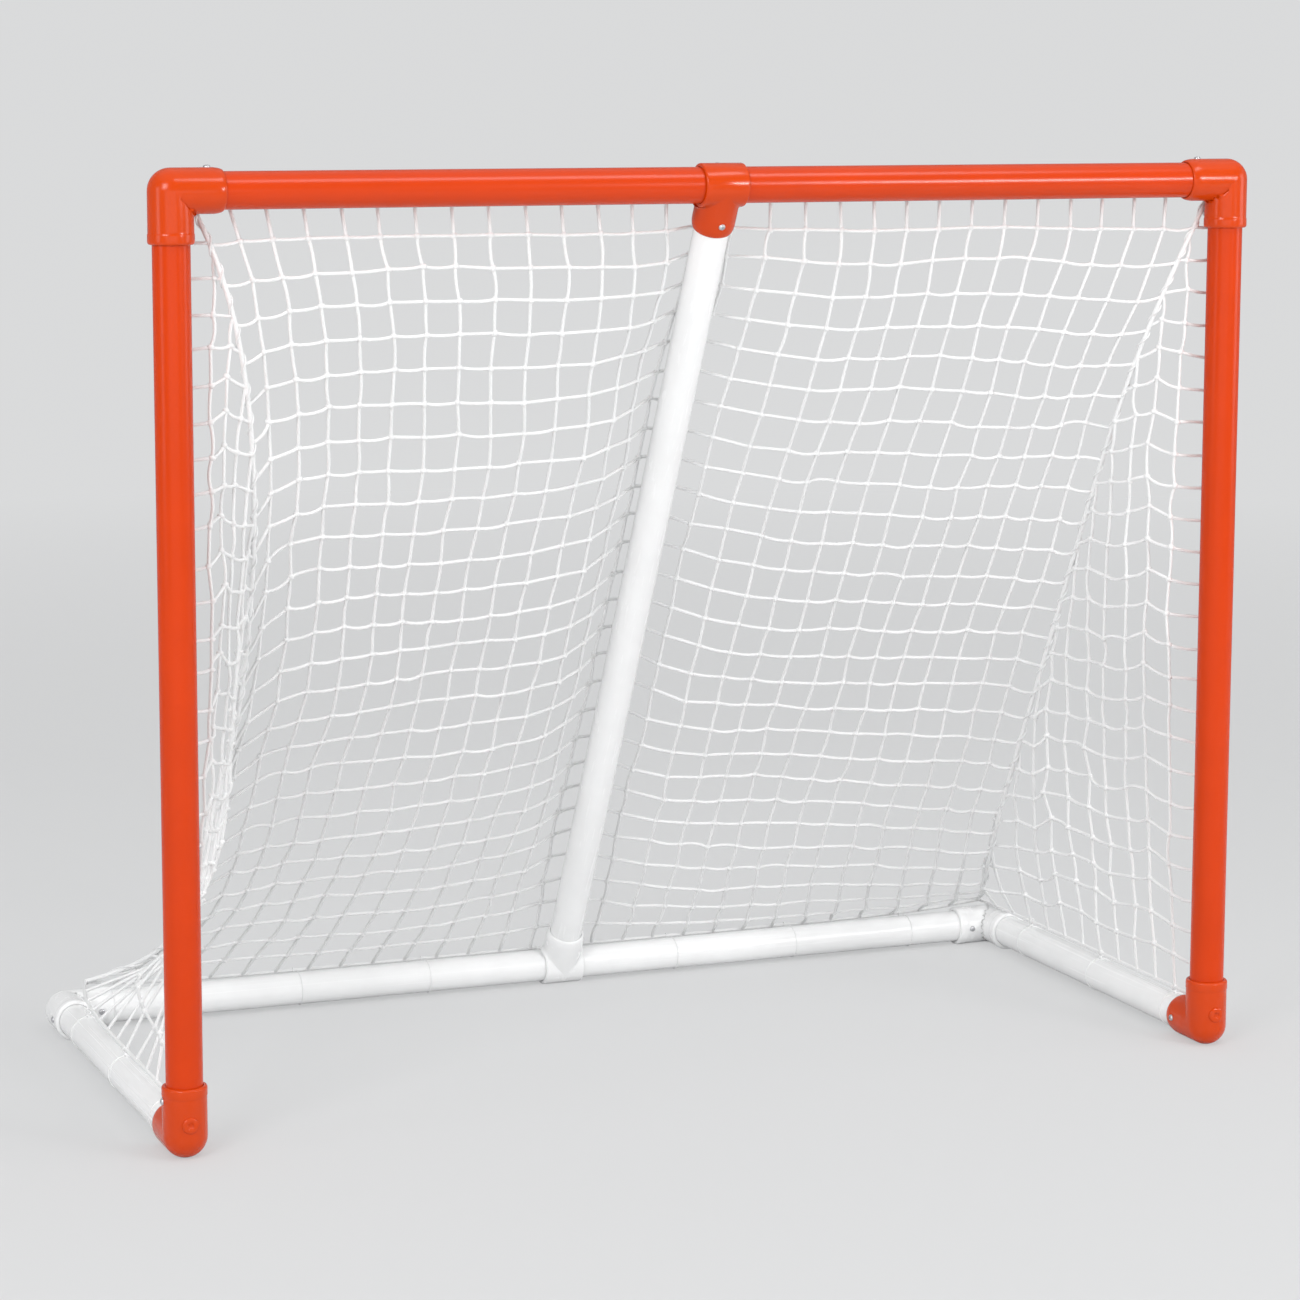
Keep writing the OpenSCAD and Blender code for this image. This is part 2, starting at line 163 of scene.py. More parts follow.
class GoalStageLook(bpy.types.PropertyGroup):
    ground: colour_prop("Ground", "Colour of the floor and backdrop", 0.7, 0.705, 0.71)
    key: FloatProperty(
        name="Key light", description="Power of the main softbox",
        subtype="POWER", unit="POWER", default=98, min=0, max=2000)
    world: FloatProperty(
        name="World light", description="Strength of the light from all round",
        default=0.8, min=0, max=2)


# ---------------------------------------------------------------- finishes

class Nodes:
    """A short way to write a material's nodes."""

    def __init__(self, name):
        self.material = bpy.data.materials.new(name)
        self.material.use_nodes = True
        self.tree = self.material.node_tree
        self.shader = self.tree.nodes["Principled BSDF"]

    def add(self, kind, inputs=None, **settings):
        node = self.tree.nodes.new(kind)
        for key, value in settings.items():
            setattr(node, key, value)
        for key, value in (inputs or {}).items():
            if isinstance(value, bpy.types.NodeSocket):
                self.tree.links.new(value, node.inputs[key])
            else:
                node.inputs[key].default_value = value
        return node

    def set(self, **values):
        for key, value in values.items():
            socket = self.shader.inputs[key.replace("_", " ")]
            if isinstance(value, bpy.types.NodeSocket):
                self.tree.links.new(value, socket)
            else:
                socket.default_value = value

    def place(self):
        return self.add("ShaderNodeTexCoord").outputs["Object"]

    def noise(self, vector, scale, detail=3, roughness=0.5):
        return self.add("ShaderNodeTexNoise", {
            "Vector": vector, "Scale": scale, "Detail": detail, "Roughness": roughness,
        }).outputs["Fac"]

    def stretch(self, vector, scale):
        return self.add("ShaderNodeMapping", {"Vector": vector, "Scale": scale}).outputs["Vector"]

    def span(self, value, low, high, from_low=0.0, from_high=1.0):
        return self.add("ShaderNodeMapRange", {
            "Value": value, "From Min": from_low, "From Max": from_high,
            "To Min": low, "To Max": high,
        }).outputs["Result"]

    def math(self, operation, a, b=0.0, c=0.0):
        return self.add("ShaderNodeMath", {0: a, 1: b, 2: c}, operation=operation).outputs[0]

    def mix(self, share, a, b):
        """Colour a, turning to b as share goes to 1. 6 and 7 are the node's colour sockets."""
        return self.add("ShaderNodeMix", {0: share, 6: a, 7: b}, data_type="RGBA").outputs[2]

    def bump(self, height, strength, distance, under=None):
        inputs = {"Height": height, "Strength": strength, "Distance": distance}
        if under:
            inputs["Normal"] = under
        return self.add("ShaderNodeBump", inputs).outputs["Normal"]


def shade(colour, factor):
    return (*[min(1, max(0, c * factor)) for c in colour], 1)


def plastic(name, colour, grain_way, gloss=0.24, shine=0.4):
    """Moulded or extruded plastic: faint flow lines along grain_way, mottled gloss and scuffs."""
    n = Nodes(name)
    place = n.place()
    cloud = n.noise(place, 14, 4, 0.55)
    flow = n.noise(n.stretch(place, grain_way), 1, 3, 0.6)
    peel = n.noise(place, 420, 2, 0.5)
    scuff = n.noise(n.stretch(place, (260, 260, 40)), 1, 5, 0.75)
    tint = n.mix(n.span(cloud, 0, 1, 0.3, 0.7), shade(colour, 0.97), shade(colour, 1.02))
    marks = n.span(scuff, 0, 0.14, 0.7, 0.82)
    tint = n.mix(marks, tint, shade([c * 0.93 + 0.03 for c in colour], 1))
    rough = n.span(flow, gloss - 0.01, gloss + 0.02, 0.3, 0.7)
    rough = n.math("ADD", rough, n.math("MULTIPLY", marks, 0.4))
    fine = n.bump(peel, 0.05, 0.0004)
    n.set(Base_Color=tint, Roughness=rough, Normal=n.bump(flow, 0.004, 0.0005, fine))
    n.set(IOR=1.5, Specular_IOR_Level=shine, Coat_Weight=shine / 5, Coat_Roughness=0.1)
    return n.material


def cord_finish(name, colour, strands=9.0, depth=0.5):
    """Twisted multifilament cord: the strands wind round it, with fine fibres and a little dirt."""
    n = Nodes(name)
    lay = n.add("ShaderNodeAttribute", attribute_name="lay").outputs["Vector"]
    split = n.add("ShaderNodeSeparateXYZ", {0: lay})
    turn, along = split.outputs["X"], split.outputs["Y"]

    def winding(count, rate):
        """The angle of count strands that also wind along the cord."""
        around = n.math("MULTIPLY", turn, count * math.tau)
        return n.math("ADD", around, n.math("MULTIPLY", along, rate))

    half = n.math("MULTIPLY", winding(3, strands * 100), 0.5)
    ridge = n.math("POWER", n.math("ABSOLUTE", n.math("SINE", half)), 0.5)
    fibre = n.math("SINE", winding(24, strands * 340))
    place = n.place()
    dirt = n.noise(place, 9, 4, 0.6)
    fuzz = n.noise(place, 1500, 2, 0.6)
    height = n.math("ADD", ridge, n.math("MULTIPLY", fibre, 0.08))
    height = n.math("ADD", height, n.math("MULTIPLY", fuzz, 0.3))
    tint = n.mix(n.span(dirt, 0, 1, 0.35, 0.75), shade(colour, 1.0), shade(colour, 0.955))
    # Painted shade: the colour is darkened in the grooves between the strands, where the ridge is
    # low.
    tint = n.mix(n.span(ridge, 0.6, 0, 0.1, 0.7), tint, shade(colour, 0.9))
    n.set(Base_Color=tint, Roughness=n.span(fuzz, 0.6, 0.8, 0.3, 0.7))
    n.set(Normal=n.bump(height, depth, 0.0004))
    n.set(Specular_IOR_Level=0.35, Sheen_Weight=0.1, Sheen_Roughness=0.5)
    return n.material


def steel_finish(name, colour):
    """Zinc-plated steel with fine turning marks and dull patches."""
    n = Nodes(name)
    place = n.place()
    brushed = n.noise(n.stretch(place, (900, 900, 5000)), 1, 3, 0.6)
    patch = n.noise(place, 160, 3, 0.6)
    tint = n.mix(patch, shade(colour, 0.9), shade([colour[0], colour[1], colour[2] * 1.03], 1.1))
    n.set(Base_Color=tint, Roughness=n.span(brushed, 0.22, 0.42, 0.3, 0.7))
    n.set(Normal=n.bump(brushed, 0.08, 0.0002), Metallic=1.0)
    return n.material


def finish(name, make, *args, **more):
    """One material of each name."""
    return bpy.data.materials.get(name) or make(name, *args, **more)


def orange_fitting():
    colour = bpy.context.scene.goal_finishes.orange_fitting
    return finish("orange_moulded_plastic", plastic, colour, (60, 60, 60), gloss=0.2, shine=0.28)


def white_plastic(name="white_moulded_plastic", way=(60, 60, 60)):
    colour = bpy.context.scene.goal_finishes.white_plastic
    return finish(name, plastic, colour, way, gloss=0.26)


def net_finish():
    return finish("twisted_net_cord", cord_finish, bpy.context.scene.goal_finishes.net_cord)


# ---------------------------------------------------------------- pieces

def new_object(name, data):
    made = bpy.data.objects.new(name, data)
    bpy.context.scene.collection.objects.link(made)
    return made


def evaluated(piece):
    """A piece as its modifiers or its bevel make it."""
    bpy.context.view_layer.update()
    return piece.evaluated_get(bpy.context.evaluated_depsgraph_get())


def piece_from(bm, name, material, smooth=None):
    """A finished mesh piece. smooth is the angle up to which edges are shaded smooth."""
    mesh = bpy.data.meshes.new(name)
    bm.normal_update()
    bm.to_mesh(mesh)
    bm.free()
    mesh.materials.append(material)
    mesh.polygons.foreach_set("use_smooth", [True] * len(mesh.polygons))
    if smooth is not None:
        mesh.set_sharp_from_angle(angle=smooth)
    return new_object(name, mesh)


def settle(bm, name, node, material, smooth=None):
    """Makes a finished piece and puts it on the frame, in place of a CAD node."""
    piece = piece_from(bm, name, material, smooth)
    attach(piece, ROOT)
    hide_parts(node)


def in_mm(profile):
    return [(radius * MM, height * MM) for radius, height in profile]


def stamp(bm, shape, places=(Matrix(),)):
    """Adds a copy of the bmesh shape to bm at each matrix, and frees shape."""
    mesh = bpy.data.meshes.new("part")
    shape.to_mesh(mesh)
    shape.free()
    for put in places:
        mesh.transform(put)
        bm.from_mesh(mesh)
        mesh.transform(put.inverted())
    bpy.data.meshes.remove(mesh)
    return bm


def frame_of(centre, z_way, x_way):
    """The matrix that turns +Z to z_way and +X towards x_way."""
    z = z_way.normalized()
    y = z.cross(x_way).normalized()
    return Matrix.Translation(centre) @ Matrix((y.cross(z), y, z)).transposed().to_4x4()


def seat(shape, place):
    """Moves a shape by a matrix and turns its faces outwards."""
    bmesh.ops.transform(shape, matrix=place, verts=shape.verts)
    bmesh.ops.recalc_face_normals(shape, faces=shape.faces)


def lathe(bm, profile, sides, close=False):
    """Spins a profile of (radius, height) points round +Z."""
    verts = [bm.verts.new((r, 0, z)) for r, z in profile]
    edges = [bm.edges.new(pair) for pair in zip(verts, verts[1:])]
    if close:
        edges.append(bm.edges.new((verts[-1], verts[0])))
    bmesh.ops.spin(bm, geom=verts + edges, cent=(0, 0, 0), axis=(0, 0, 1),
                   angle=math.tau, steps=sides, use_merge=True)
    bmesh.ops.remove_doubles(bm, verts=bm.verts, dist=1e-7)


def arm_profile(mouth, lip):
    """A socket's outside and bore, from the corner's side to the bottom of the bore."""
    r = FITTING_R
    if mouth == "band":
        outside = [
            (r, 15), (r, 12.5), (r + lip * 0.3, 11.8), (r + lip * 0.85, 11), (r + lip, 10),
            (r + lip, 4), (r + lip * 0.7, 2), (r - 0.3 * MM, 0.8), (r - 1.2 * MM, 0.15),
            (r - 2 * MM, 0),
        ]
    else:
        outside = [
            (r, 15), (r, 11), (r - 0.15 * MM, 8.5), (r - 0.6 * MM, 5.5), (r - 1.3 * MM, 2.6),
            (r - 2.1 * MM, 0.8), (r - 2.8 * MM, 0.1), (r - 3.2 * MM, 0),
        ]
    inside = [(BORE_R + 0.5 * MM, 0), (BORE_R + 0.1 * MM, 0.6), (BORE_R, 1.5)]
    # So far the second number is the depth below the mouth in mm.
    wall = [(radius, SOCKET_REACH - depth * MM) for radius, depth in outside + inside]
    return wall + [(BORE_R, 29 * MM)]


def ring_edges(ring):
    """The edges between the vertices of a ring."""
    inside = set(ring)
    return [e for e in {e for v in ring for e in v.link_edges} if inside.issuperset(e.verts)]


def extrude_ring(bm, ring):
    made = bmesh.ops.extrude_edge_only(bm, edges=ring_edges(ring))["geom"]
    return [g for g in made if isinstance(g, bmesh.types.BMVert)]


def add_socket(bm, ring, profile):
    """Carries a ring of vertices along a socket's profile and closes the bottom of its bore."""
    for radius, height in profile:
        ring = extrude_ring(bm, ring)
        for v in ring:
            v.co = (*(v.co.xy.normalized() * radius), height)
    bmesh.ops.contextual_create(bm, geom=ring_edges(ring))


def add_arm(bm, mouth, sizes):
    """Half an elbow: the arm along +Z, mitred on the side that faces the other arm, which is +X."""
    start = bmesh.ops.create_circle(bm, segments=sizes.sides, radius=FITTING_R)["verts"]
    for v in start:
        v.co.z = max(0.0, v.co.x)
    add_socket(bm, start, [(FITTING_R, FITTING_R + 4 * MM)] + arm_profile(mouth, sizes.lip))
    return start


def elbow_shape(centre, way_a, way_b, mouth_b):
    """An elbow with a ball corner: two mitred arms and the part of the ball between them. The
    first arm's mouth has a band."""
    sizes = bpy.context.scene.goal_fitting_sizes
    bm = bmesh.new()
    add_arm(bm, mouth_b, sizes)
    swap = Matrix(((0, 0, 1, 0), (0, 1, 0, 0), (1, 0, 0, 0), (0, 0, 0, 1)))
    bmesh.ops.transform(bm, matrix=swap, verts=bm.verts)
    start = add_arm(bm, "band", sizes)
    outer = [v for v in start if v.co.x <= 1e-7]
    edges = {e for v in outer for e in v.link_edges if e.other_vert(v) in outer and e.is_boundary}
    bmesh.ops.spin(bm, geom=outer + list(edges), cent=(0, 0, 0), axis=(0, 1, 0),
                   angle=-math.pi / 2, steps=sizes.sides // 4)
    bmesh.ops.remove_doubles(bm, verts=bm.verts, dist=2e-6)
    bmesh.ops.dissolve_degenerate(bm, dist=1e-6, edges=bm.edges)
    crease = [
        e for e in bm.edges
        if all(abs(v.co.x - v.co.z) < 1e-6 and v.co.x > 2e-3 for v in e.verts)
    ]
    bmesh.ops.bevel(bm, geom=crease, offset=sizes.crotch, offset_type="OFFSET", segments=4,
                    profile=0.5, affect="EDGES", material=-1, clamp_overlap=True)
    seat(bm, frame_of(centre, way_a, way_b))
    return bm


def cut_floor(bm):
    """Moulds the flat that a base fitting stands on."""
    cut = bmesh.ops.bisect_plane(bm, geom=bm.verts[:] + bm.edges[:] + bm.faces[:], dist=1e-7,
                                 plane_co=(0, 0, 0), plane_no=(0, 0, -1), clear_outer=True)
    edges = [g for g in cut["geom_cut"] if isinstance(g, bmesh.types.BMEdge)]
    bmesh.ops.holes_fill(bm, edges=edges)


def add_boss(bm, centre):
    """The round boss with a dimple and a rounded rim on the front of a bottom elbow."""
    outside, rim = 9.5, 6.1
    outline = [(0, 0.15), (1.5, 0.2), (2.4, 0.4)]
    for angle in np.linspace(0.9 * math.pi, 0, 11):
        outline.append((rim + (outside - rim) * math.cos(angle), 2 * math.sin(angle) ** 0.8))
    outline += [(outside + 0.2, -1.2), (outside + 0.6, -5), (0, -5)]
    shape = bmesh.new()
    lathe(shape, in_mm(outline), 40)
    seat(shape, frame_of(centre + Vector((0, -FITTING_R, 17 * MM)), FRONT, RIGHT))
    stamp(bm, shape)


ELBOWS = [
    ("top_left", DOWN, RIGHT, "taper", "orange"), ("top_right", DOWN, LEFT, "taper", "orange"),
    ("bottom_left", UP, BACK, "taper", "orange"), ("bottom_right", UP, BACK, "taper", "orange"),
    ("rear_left", RIGHT, FRONT, "band", "white"), ("rear_right", LEFT, FRONT, "band", "white"),
]


class GOAL_OT_tubes(bpy.types.Operator):
    """Give the frame's tubes their extruded plastic"""
    bl_idname = "goal.tubes"
    bl_label = "Frame Tubes"

    def execute(self, context):
        orange = context.scene.goal_finishes.orange_tube
        along_x, along_y, along_z = (2, 300, 300), (300, 2, 300), (300, 300, 2)
        looks = {
            "crossbar": finish("orange_crossbar_plastic", plastic, orange, along_x, shine=0.27),
            "rear_bar": white_plastic("white_bar_plastic", along_x),
            "centre_support": white_plastic("white_support_plastic", (300, 40, 4)),
        }
        for _, name in SIDES:
            looks[f"{name}_post"] = finish(
                "orange_post_plastic", plastic, orange, along_z, shine=0.2)
            looks[f"{name}_base_tube"] = white_plastic("white_base_plastic", along_y)
        for node, material in looks.items():
            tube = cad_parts[node]
            tube.data.materials.clear()
            tube.data.materials.append(material)
        return {"FINISHED"}


class GOAL_OT_elbows(bpy.types.Operator):
    """Build the six corner elbows"""
    bl_idname = "goal.elbows"
    bl_label = "Corner Elbows"

    def execute(self, context):
        for corner, way_a, way_b, mouth_b, colour in ELBOWS:
            bm = elbow_shape(CORNERS[corner], way_a, way_b, mouth_b)
            if not corner.startswith("top"):
                cut_floor(bm)
            if corner.startswith("bottom"):
                add_boss(bm, CORNERS[corner])
            material = orange_fitting() if colour == "orange" else white_plastic()
            settle(bm, f"{corner}_elbow_moulding", f"{corner}_elbow", material,
                   FITTING_EDGE)
        return {"FINISHED"}


def tee_shape(centre, way, sizes):
    """A tee: a sleeve with rounded mouths along the bar, and a socket that flares into it."""
    r = FITTING_R
    half = sizes.sleeve / 2
    end = [(r, half - 2.4 * MM), (r - 0.4 * MM, half - 0.9 * MM), (r - 1.2 * MM, half - 0.2 * MM),
           (r - 2 * MM, half), (BORE_R + 0.4 * MM, half), (BORE_R, half - MM)]
    bm = bmesh.new()
    other_end = [(radius, -height) for radius, height in reversed(end)]
    lathe(bm, other_end + end, sizes.sides, close=True)
    seat(bm, frame_of(centre, RIGHT, way))
    arm = bmesh.new()
    ring = bmesh.ops.create_circle(arm, segments=sizes.sides, radius=r)["verts"]
    # The fillet is widest on the sides that face along the bar, and runs out at the bar's sides.
    for index, turn in enumerate(math.radians(d) for d in (0, 15, 30, 45, 60, 75, 90)):
        if index:
            ring = extrude_ring(arm, ring)
        for v in ring:
            flat = v.co.xy.normalized()
            fillet = 4 * MM * flat.x ** 2
            v.co.xy = flat * (r + fillet * (1 - math.sin(turn)))
            beside = min(abs(v.co.y), r)
            v.co.z = math.sqrt(r * r - beside * beside) + fillet * (1 - math.cos(turn)) - 0.15 * MM
    add_socket(arm, ring, [(r, r + 6 * MM)] + arm_profile("taper", 0))
    bmesh.ops.holes_fill(arm, edges=[e for e in arm.edges if e.is_boundary])
    seat(arm, frame_of(centre, way, RIGHT))
    return stamp(bm, arm)


class GOAL_OT_tees(bpy.types.Operator):
    """Build the crossbar tee and the rear tee"""
    bl_idname = "goal.tees"
    bl_label = "Tees"

    def execute(self, context):
        sizes = context.scene.goal_fitting_sizes
        bm = tee_shape(TEE_TOP, SUPPORT_WAY, sizes)
        settle(bm, "crossbar_tee_moulding", "crossbar_tee", orange_fitting(),
               FITTING_EDGE)
        bm = tee_shape(TEE_REAR, -SUPPORT_WAY, sizes)
        cut_floor(bm)
        settle(bm, "rear_tee_moulding", "rear_tee", white_plastic(), FITTING_EDGE)
        return {"FINISHED"}


# The centre of each screw's fitting, the way along its socket or sleeve, the side that it is on,
# and how far along it is.
SCREWS = [
    (CORNERS[corner], way, side, SCREW_PLACE)
    for corner, way_a, side_a, way_b, side_b in (
        ("top_left", RIGHT, UP, DOWN, BACK + RIGHT), ("top_right", LEFT, UP, DOWN, BACK + LEFT),
        ("bottom_left", UP, LEFT, BACK, RIGHT), ("bottom_right", UP, RIGHT, BACK, LEFT),
        ("rear_left", FRONT, LEFT, RIGHT, FRONT), ("rear_right", FRONT, RIGHT, LEFT, FRONT))
    for way, side in ((way_a, side_a), (way_b, side_b))
] + [
    (TEE_TOP, SUPPORT_WAY, SUPPORT_FRONT, SCREW_PLACE),
    (TEE_REAR, -SUPPORT_WAY, SUPPORT_SIDE, SCREW_PLACE),
    (TEE_TOP, RIGHT, UP + BACK / 2, 0), (TEE_REAR, RIGHT, UP + FRONT, 0),
]


def screw_shape():
    """A pan head with a cross recess and a plain shank, its head's underside on Z = 0."""
    bm = bmesh.new()
    shank = [(0, -7.5), (1.1, -7), (1.75, -5.5), (1.75, 0)]
    head = [(3.7, 0), (4, 0.35), (3.95, 1.1), (3.6, 1.8), (2.9, 2.4), (1.8, 2.85), (1.2, 2.95),
            (0, 3)]
    lathe(bm, in_mm(shank + head), 24)
    bmesh.ops.recalc_face_normals(bm, faces=bm.faces)
    cross = bmesh.new()
    for turn in (0, 90):
        made = bmesh.ops.create_cube(cross, size=1)["verts"]
        spun = Matrix.Rotation(math.radians(turn), 3, "Z")
        bmesh.ops.scale(cross, vec=(4.4 * MM, 0.9 * MM, 2.6 * MM), verts=made)
        bmesh.ops.rotate(cross, cent=(0, 0, 0), matrix=spun, verts=made)
    bmesh.ops.translate(cross, vec=(0, 0, 3.1 * MM), verts=cross.verts)
    return bm, cross


def boolean(bm, cutter):
    """bm after the editor's exact boolean has cut another bmesh from it."""
    objects = []
    for shape in (bm, cutter):
        mesh = bpy.data.meshes.new("operand")
        shape.to_mesh(mesh)
        shape.free()
        objects.append(new_object("operand", mesh))
    modifier = objects[0].modifiers.new("cut", "BOOLEAN")
    modifier.object = objects[1]
    modifier.operation = "DIFFERENCE"
    modifier.solver = "EXACT"
    modifier.use_self = True
    result = bmesh.new()
    result.from_mesh(evaluated(objects[0]).to_mesh())
    for mesh in [o.data for o in objects]:
        bpy.data.meshes.remove(mesh)
    return result


class GOAL_OT_screws(bpy.types.Operator):
    """Build the pan-head screws that lock the sockets"""
    bl_idname = "goal.screws"
    bl_label = "Socket Screws"

    def execute(self, context):
        places = []
        for index, (centre, way, side, distance) in enumerate(SCREWS):
            side = side.normalized()
            under_head = centre + way * distance + side * (FITTING_R - 0.35 * MM)
            turn = Matrix.Rotation(math.radians(37 * index), 4, "Z")
            places.append(frame_of(under_head, side, way) @ turn)
        bm = stamp(bmesh.new(), boolean(*screw_shape()), places)
        steel = finish("zinc_plated_steel", steel_finish, context.scene.goal_finishes.steel)
        settle(bm, "pan_head_screws", "socket_screws", steel, math.radians(30))
        return {"FINISHED"}


# ---------------------------------------------------------------- cords

def cords_mesh(routes, diameter, sides=6):
    """A mesh of round cords. Each route is a list of points. The lay attribute holds the turn round
    a cord and the length along it."""
    curve = bpy.data.curves.new("cords", "CURVE")
    curve.dimensions = "3D"
    curve.bevel_depth = diameter / 2
    curve.bevel_resolution = (sides - 4) // 2
    curve.use_fill_caps = True
    for route in routes:
        spline = curve.splines.new("POLY")
        spline.points.add(len(route) - 1)
        points = np.ones((len(route), 4))
        points[:, :3] = route
        spline.points.foreach_set("co", points.ravel())
    mesh = bpy.data.meshes.new_from_object(evaluated(new_object("cords", curve)))
    bpy.data.curves.remove(curve)
    write_lay(mesh, routes, sides)
    bm = bmesh.new()
    bm.from_mesh(mesh)
    bpy.data.meshes.remove(mesh)
    return bm


def write_lay(mesh, routes, sides):
    """Stores each corner's turn round its cord and its length along it, for the twist."""
    uv = np.zeros(len(mesh.loops) * 2, np.float32)
    mesh.uv_layers.active.data.foreach_get("uv", uv)
    corners = np.zeros(len(mesh.polygons), np.int32)
    mesh.polygons.foreach_get("loop_total", corners)
    lengths = [float(np.linalg.norm(np.diff(np.array(r), axis=0), axis=1).sum()) for r in routes]
    walls = [(len(r) - 1) * sides for r in routes]
    caps = (len(mesh.polygons) - sum(walls)) // len(routes)
    face_lengths = np.repeat(lengths, [n + caps for n in walls])
    values = np.zeros((len(mesh.loops), 3), np.float32)
    values[:, 0] = uv[1::2]
    values[:, 1] = uv[0::2] * np.repeat(face_lengths, corners)
    lay = mesh.attributes.new("lay", "FLOAT_VECTOR", "CORNER")
    lay.data.foreach_set("vector", values.ravel())


def bowed(a, b, length, way, give, points=3):
    """The points from a to b, without b, of a cord that bows towards way. The stiff cord takes up
    all but a share, give, of the length that it has to spare in small kinks."""
    span = np.linalg.norm(b - a)
    spare = max(0.0, length - span) * give
    along = (b - a) / max(span, 1e-9)
    way = way - along * np.dot(way, along)
    size = np.linalg.norm(way)
    # A flat arc is longer than its span by 8/3 of its bow's square over the span.
    bow = math.sqrt(3 / 8 * spare * span) * (way / size if size > 1e-6 else 0)
    shares = np.arange(points + 1) / (points + 1)
    return [a + (b - a) * s + bow * 4 * s * (1 - s) for s in shares]


def strand(rng, chain, lengths, way, stray, give):
    """The route of a cord through a chain of knots, with the length of cord between each two. It
    bows towards way, more or less as stray says, and give is the most that bowed() takes."""
    route = []
    for a, b, length in zip(chain, chain[1:], lengths):
        bow_way = way + rng.normal(size=3) * stray
        route += bowed(a, b, length, bow_way, rng.uniform(0, give))
    return route + [chain[-1]]


def knots_into(bm, places, size, seed):
    """A small lump at each crossing, where the cords are tied."""
    rng = np.random.default_rng(seed)
    knot = bmesh.new()
    bmesh.ops.create_uvsphere(knot, u_segments=6, v_segments=5, radius=size)
    bmesh.ops.scale(knot, vec=(1.25, 0.95, 0.85), verts=knot.verts)
    turns = []
    for place in places:
        turn = Matrix.Rotation(rng.uniform(0, math.tau), 4, Vector(rng.normal(size=3)).normalized())
        turns.append(Matrix.Translation(Vector(place)) @ turn)
    stamp(bm, knot, turns)


# ---------------------------------------------------------------- the hanging net

# How far above level the back net's hems lie behind the crossbar and behind the rear bar.
BAR_RISE = math.radians(10)
REAR_RISE = math.radians(39)
NET_TOP = BAR_Z + STANDOFF * math.sin(BAR_RISE)
FIRST_ROW = BAR_Z - 17.25 * MM
NET_FRONT = POST_Y + STANDOFF
NET_REAR = REAR_Y + STANDOFF * math.cos(REAR_RISE)
NET_LOW = BASE_Z + STANDOFF * math.sin(REAR_RISE)
SIDE_LOW = BASE_Z + STANDOFF
DEEP = NET_REAR - NET_FRONT
# The powers of the sag's curve at the crossbar, in the middle of the net, and at the base.
SAG_TOP = 12.52
SAG_LOW = 5.32
# How far the back net's rows droop, its sides draw in, and the support lifts it.
DROOP = 27 * MM
DRAW = 74 * MM
LIFT = 35.7 * MM
# How far in from the posts' axes the top hem ends, and the back net's sides hang.
HEM_INSET = 22 * MM
SIDE_INSET = 16.1 * MM
# A cord that lies across bows down, and one that hangs bows to any side.
SLACK_WAY = np.array([0, 0, -1.0])
LEVEL_STRAY = np.array([1, 1, 0.2])


# How each half hangs towards its corner. half is the seam's half width at the crossbar and dip how
# far the rows run down, and fill how far the side net hangs in, in mm. The rest are the powers that
# shape the curves.
HANG = {
    -1: {"half": 628.6, "draw_top": 4.33, "draw_low": 31.43, "blend": 10.57, "hold": 11.91,
         "sag_top": 1.01, "sag_low": 2.04, "sag_out": 0.91, "dip": 302.8, "dip_top": 1.23,
         "dip_low": 0.83, "dip_out": 12.77, "fill": 60, "fill_low": 1.5},
    1: {"half": 652.8, "draw_top": 7.84, "draw_low": 12.11, "blend": 5.17, "hold": 13.15,
        "sag_top": 0.78, "sag_low": 17.91, "sag_out": 2.53, "dip": 104.5, "dip_top": 0.98,
        "dip_low": 0.44, "dip_out": 1.29, "fill": 20, "fill_low": 1},
}


def swell(drop, top, low):
    """A curve that rises from 0 at the crossbar and falls back to 0 at the base. Higher powers make
    it rise and fall more steeply."""
    return (1 - (1 - drop) ** top) * (1 - drop ** low)


def corner_sag(side, drop, sizes):
    """How much further than the middle of the net its corner hangs in. drop runs from 0 at the
    crossbar to 1 at the base."""
    hang = HANG[side]
    most = sizes.left_sag if side < 0 else sizes.right_sag
    return most * drop ** hang["sag_top"] * (1 - drop ** hang["sag_low"])


def seam_half(side, drop, sizes):
    """How far from the middle of the goal a corner hangs."""
    hang = HANG[side]
    draw = sizes.left_draw if side < 0 else sizes.right_draw
    return hang["half"] * MM - draw * swell(drop, hang["draw_top"], hang["draw_low"])


def seam_point(side, drop, sizes):
    """The place on a rear corner's seam."""
    y = NET_FRONT + DEEP * drop - corner_sag(side, drop, sizes)
    y -= sizes.sag * swell(drop, HANG[side]["hold"], SAG_LOW)
    z = FIRST_ROW + (SIDE_LOW - FIRST_ROW) * drop
    return np.array([side * seam_half(side, drop, sizes), y, z])


